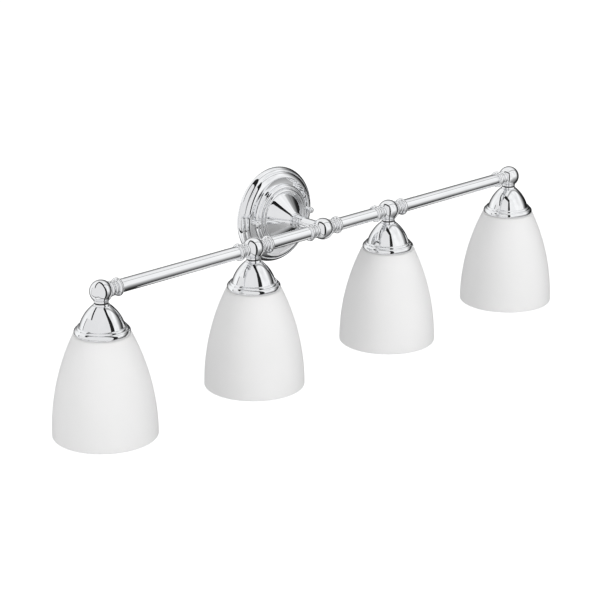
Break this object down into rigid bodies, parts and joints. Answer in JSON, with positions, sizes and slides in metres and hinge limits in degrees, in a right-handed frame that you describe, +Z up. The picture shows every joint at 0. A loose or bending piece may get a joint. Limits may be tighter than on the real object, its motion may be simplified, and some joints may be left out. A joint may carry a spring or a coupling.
{
  "type": "vanity light bar",
  "caption": "Wall light bar for over a mirror: a stepped round canopy and short arm carry a beaded tube with bell-shaped satin glass shades hanging from domed caps.",
  "frame": {"origin": "centre of the canopy and of the mounting plate's back face, in the plane of the wall", "axes": "+X along the bar to the right as seen from the room, +Y into the wall, -Y to the room, +Z up; shades hang towards -Z"},
  "size_m": [0.829, 0.154, 0.2364],
  "materials": {
    "polished_chrome": "mirror polished plating",
    "frosted_glass": "white satin, etched",
    "zinc_plated_steel": "bright zinc plated",
    "brass": "plain turned",
    "nickel_shell": "nickel plated",
    "porcelain": "glazed",
    "phenolic": "moulded",
    "green_ground": "green passivated",
    "lead_insulation": "insulation"
  },
  "bodies": {
    "fixture": {"arm_collar": "polished_chrome", "arm_lock_nut": "zinc_plated_steel", "arm_lock_washer": "zinc_plated_steel", "arm_tube": "polished_chrome", "bar_collar_1": "polished_chrome", "bar_collar_2": "polished_chrome", "bar_collar_3": "polished_chrome", "bar_collar_4": "polished_chrome", "bar_collar_5": "polished_chrome", "bar_collar_6": "polished_chrome", "bar_collar_7": "polished_chrome", "bar_collar_8": "polished_chrome", "bar_tube_1": "polished_chrome", "bar_tube_2": "polished_chrome", "bar_tube_3": "polished_chrome", "bar_tube_4": "polished_chrome", "bell": "polished_chrome", "canopy": "polished_chrome", "canopy_studs": "zinc_plated_steel", "cap_nuts": "polished_chrome", "center_ball": "polished_chrome", "center_contacts": "brass", "ground_screw": "green_ground", "holder_cap_1": "polished_chrome", "holder_cap_2": "polished_chrome", "holder_cap_3": "polished_chrome", "holder_cap_4": "polished_chrome", "lamp_ball_1": "polished_chrome", "lamp_ball_2": "polished_chrome", "lamp_ball_3": "polished_chrome", "lamp_ball_4": "polished_chrome", "lamp_leads": "lead_insulation", "lamp_nipples": "brass", "lampholder_1": "porcelain", "lampholder_2": "porcelain", "lampholder_3": "porcelain", "lampholder_4": "porcelain", "mounting_plate": "zinc_plated_steel", "neck_ring_1": "polished_chrome", "neck_ring_2": "polished_chrome", "neck_ring_3": "polished_chrome", "neck_ring_4": "polished_chrome", "nipple_nuts": "zinc_plated_steel", "screw_shell_1": "nickel_shell", "screw_shell_2": "nickel_shell", "screw_shell_3": "nickel_shell", "screw_shell_4": "nickel_shell", "stud_lock_nuts": "zinc_plated_steel", "terminal_screws": "brass"},
    "shade_1": {"glass_shade_1": "frosted_glass"},
    "ring_1": {"retaining_ring_1": "phenolic"},
    "shade_2": {"glass_shade_2": "frosted_glass"},
    "ring_2": {"retaining_ring_2": "phenolic"},
    "shade_3": {"glass_shade_3": "frosted_glass"},
    "ring_3": {"retaining_ring_3": "phenolic"},
    "shade_4": {"glass_shade_4": "frosted_glass"},
    "ring_4": {"retaining_ring_4": "phenolic"}
  },
  "joints": [
    {"name": "shade_1_drop", "type": "slide", "parent": "fixture", "child": "shade_1", "axis": [0, 0, -1], "range_m": [0, 0.01]},
    {"name": "ring_1_unscrew", "type": "hinge", "parent": "shade_1", "child": "ring_1", "pos_m": [-0.3525, -0.092, -0.04841], "axis": [0, 0, -1], "range_deg": [0, 1440]},
    {"name": "shade_2_drop", "type": "slide", "parent": "fixture", "child": "shade_2", "axis": [0, 0, -1], "range_m": [0, 0.01]},
    {"name": "ring_2_unscrew", "type": "hinge", "parent": "shade_2", "child": "ring_2", "pos_m": [-0.1175, -0.092, -0.04841], "axis": [0, 0, -1], "range_deg": [0, 1440]},
    {"name": "shade_3_drop", "type": "slide", "parent": "fixture", "child": "shade_3", "axis": [0, 0, -1], "range_m": [0, 0.01]},
    {"name": "ring_3_unscrew", "type": "hinge", "parent": "shade_3", "child": "ring_3", "pos_m": [0.1175, -0.092, -0.04841], "axis": [0, 0, -1], "range_deg": [0, 1440]},
    {"name": "shade_4_drop", "type": "slide", "parent": "fixture", "child": "shade_4", "axis": [0, 0, -1], "range_m": [0, 0.01]},
    {"name": "ring_4_unscrew", "type": "hinge", "parent": "shade_4", "child": "ring_4", "pos_m": [0.3525, -0.092, -0.04841], "axis": [0, 0, -1], "range_deg": [0, 1440]}
  ],
  "couplings": [
    {"joint": "ring_1_unscrew", "follows": "shade_1_drop", "rad_per_m": 2513.3},
    {"joint": "ring_2_unscrew", "follows": "shade_2_drop", "rad_per_m": 2513.3},
    {"joint": "ring_3_unscrew", "follows": "shade_3_drop", "rad_per_m": 2513.3},
    {"joint": "ring_4_unscrew", "follows": "shade_4_drop", "rad_per_m": 2513.3}
  ]
}
